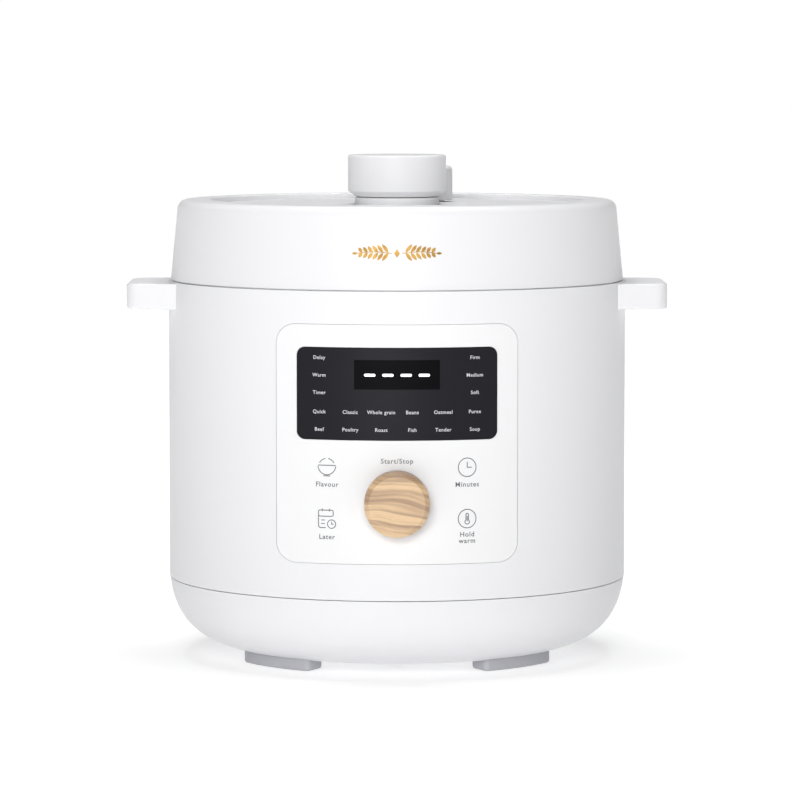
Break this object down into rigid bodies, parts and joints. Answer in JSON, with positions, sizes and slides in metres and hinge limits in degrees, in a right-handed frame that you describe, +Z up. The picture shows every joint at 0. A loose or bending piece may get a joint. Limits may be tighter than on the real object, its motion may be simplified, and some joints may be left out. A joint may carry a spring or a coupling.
{
  "type": "electric pressure cooker",
  "caption": "Round electric pressure cooker with a hinged lid, turning lid knob, steam valve, curved control panel, wooden dial, side handles and inner pot.",
  "frame": {"origin": "on the table, at the middle of the footprint", "axes": "+Z up, the control panel faces -Y, +X to the right seen from the front"},
  "size_m": [0.331, 0.3124, 0.3083],
  "materials": {
    "white_abs": "satin white moulded plastic",
    "white_bowl": "satin white moulded plastic",
    "panel_white": "smooth white moulded plastic",
    "valve_white": "smooth white moulded plastic",
    "display_black": "smooth dark tinted acrylic",
    "beech": "turned, sanded and clear lacquered",
    "grey_rubber": "moulded, matt",
    "silicone": "moulded, translucent white",
    "stainless": "pressed and brushed",
    "pot_aluminium": "dark non-stick coating",
    "cast_aluminium": "cast and turned",
    "zinc_steel": "zinc plated",
    "element_steel": "sheathed tube, dull",
    "grey_plastic": "light grey moulded plastic",
    "clear_plastic": "clear moulded plastic",
    "black_plastic": "black moulded plastic",
    "nickel": "nickel plated",
    "green_board": "solder masked laminate"
  },
  "bodies": {
    "cooker": {"housing": "white_abs", "bottom_cover": "white_bowl", "feet": "grey_rubber", "handle_left": "white_abs", "handle_right": "white_abs", "shell_screws": "zinc_steel", "bottom_screws": "zinc_steel", "collar": "white_abs", "drain_spout": "grey_plastic", "outer_liner": "stainless", "heating_plate": "cast_aluminium", "heating_element": "element_steel", "heater_posts": "zinc_steel", "sensor_bracket": "stainless", "thermal_fuse": "zinc_steel", "pressure_switch": "black_plastic", "power_board": "green_board", "power_parts": "black_plastic", "control_board": "green_board", "display_module": "black_plastic", "touch_springs": "nickel", "encoder_body": "black_plastic", "control_panel": "panel_white", "display_window": "display_black", "hinge_bracket": "stainless", "hinge_pin": "stainless", "hinge_springs": "stainless", "hinge_cover": "white_abs", "cup_bracket": "grey_plastic", "power_inlet": "black_plastic", "inlet_pins": "nickel"},
    "lid": {"lid_cover": "white_abs", "lid_top_plate": "white_abs", "knob_pedestal": "white_abs", "lid_frame": "grey_plastic", "hinge_arm": "stainless", "arm_cover": "white_abs", "inner_lid": "stainless", "sealing_ring": "silicone", "steam_pipe": "stainless", "steam_shield": "stainless"},
    "lock": {"lock_ring": "stainless", "lock_spider": "stainless", "lock_shaft": "stainless", "knob_base": "white_abs", "knob_cap": "white_abs", "knob_screw": "zinc_steel", "shaft_nut": "stainless"},
    "valve_weight": {"valve_weight": "stainless"},
    "valve_cap": {"valve_cap": "valve_white"},
    "float": {"float_valve": "stainless", "float_indicator": "grey_plastic"},
    "pot": {"inner_pot": "pot_aluminium"},
    "sensor": {"sensor_cap": "cast_aluminium", "sensor_spring": "stainless"},
    "dial_plunger": {"encoder_plunger": "black_plastic"},
    "dial": {"encoder_shaft": "zinc_steel", "dial_hub": "grey_plastic", "dial_cap": "beech"},
    "condensate_cup": {"condensate_cup": "clear_plastic"}
  },
  "joints": [
    {"name": "lid_hinge", "type": "hinge", "parent": "cooker", "child": "lid", "pos_m": [0, 0.1488, 0.224], "axis": [-1, 0, 0], "range_deg": [0, 80], "stiffness_Nm_per_rad": 1, "springref_deg": 108.86},
    {"name": "knob_turn", "type": "hinge", "parent": "lid", "child": "lock", "pos_m": [0, 0, 0.29], "axis": [0, 0, -1], "range_deg": [0, 30]},
    {"name": "valve_lift", "type": "slide", "parent": "lid", "child": "valve_weight", "axis": [0, 0, 1], "range_m": [0, 0.0025]},
    {"name": "valve_turn", "type": "hinge", "parent": "valve_weight", "child": "valve_cap", "pos_m": [0.0254, 0.045, 0.29], "axis": [0, 0, 1], "range_deg": [-45, 45]},
    {"name": "float_lift", "type": "slide", "parent": "lid", "child": "float", "axis": [0, 0, 1], "range_m": [0, 0.0045]},
    {"name": "pot_turn", "type": "hinge", "parent": "cooker", "child": "pot", "pos_m": [0, 0, 0.062], "axis": [0, 0, 1], "continuous": true},
    {"name": "sensor_press", "type": "slide", "parent": "cooker", "child": "sensor", "axis": [0, 0, -1], "range_m": [0, 0.003], "stiffness_N_per_m": 1200, "springref_m": -0.004, "deforming": ["sensor_spring"]},
    {"name": "dial_press", "type": "slide", "parent": "cooker", "child": "dial_plunger", "axis": [0, 1, 0], "range_m": [0, 0.0008], "stiffness_N_per_m": 3000, "springref_m": -0.0005},
    {"name": "dial_turn", "type": "hinge", "parent": "dial_plunger", "child": "dial", "pos_m": [0, -0.15, 0.107], "axis": [0, -1, 0], "continuous": true},
    {"name": "cup_pull", "type": "slide", "parent": "cooker", "child": "condensate_cup", "axis": [0, 1, 0], "range_m": [0, 0.025]}
  ]
}
